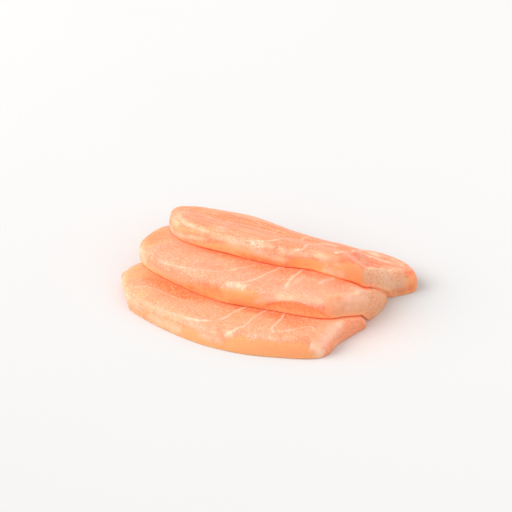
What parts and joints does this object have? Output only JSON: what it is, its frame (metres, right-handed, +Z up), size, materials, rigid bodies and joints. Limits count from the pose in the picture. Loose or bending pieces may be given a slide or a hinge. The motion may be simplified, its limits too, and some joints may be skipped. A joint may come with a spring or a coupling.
{
  "type": "salmon sashimi",
  "caption": "Thick slices of raw salmon, laid one over the next like shingles, with rounded edges and thin pale fat lines.",
  "frame": {"origin": "middle of the footprint, on the surface that the slices lie on", "axes": "+X along the slices, +Y towards the slice that lies at the back, +Z up"},
  "size_m": [0.0984, 0.0782, 0.0223],
  "materials": {
    "salmon_front": "raw salmon flesh, moist and slightly see-through, pale orange-pink with thin whitish fat lines",
    "salmon_middle": "raw salmon flesh, moist and slightly see-through, pale orange-pink with thin whitish fat lines",
    "salmon_back": "raw salmon flesh, moist, a little deeper pink, with grain lines that run along the slice"
  },
  "bodies": {
    "root": {"slice_front": "salmon_front", "slice_middle": "salmon_middle", "slice_back": "salmon_back"}
  },
  "joints": []
}
